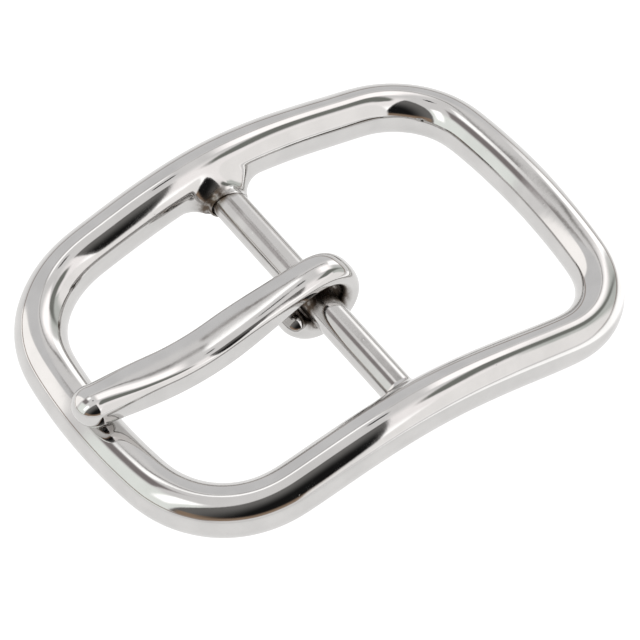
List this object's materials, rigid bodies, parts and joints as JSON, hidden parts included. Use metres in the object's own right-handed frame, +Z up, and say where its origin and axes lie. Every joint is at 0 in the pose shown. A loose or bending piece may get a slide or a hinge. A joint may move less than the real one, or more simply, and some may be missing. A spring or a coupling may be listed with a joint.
{
  "type": "belt buckle",
  "caption": "Centre-bar belt buckle: a humped, rounded frame with a fixed cross bar that holds a strap and a bent prong that swings on the bar to pin the strap's free end.",
  "frame": {"origin": "on the surface the buckle lies on, under the middle of its plan", "axes": "+X along the belt from the prong's tip and front rail towards the rear rail, +Y across the strap, +Z up and away from the wearer"},
  "size_m": [0.074, 0.0536, 0.013],
  "materials": {
    "frame_nickel": "polished nickel plate over a casting, with fine pitting",
    "bar_nickel": "polished nickel plate",
    "prong_nickel": "polished nickel plate, slightly worn at the bends"
  },
  "bodies": {
    "frame": {"frame": "frame_nickel", "center_bar": "bar_nickel"},
    "prong": {"prong": "prong_nickel"}
  },
  "joints": [
    {"name": "prong_swing", "type": "hinge", "parent": "frame", "child": "prong", "pos_m": [-0.001, 0, 0.00719], "axis": [0, 1, 0], "range_deg": [0, 174]}
  ]
}
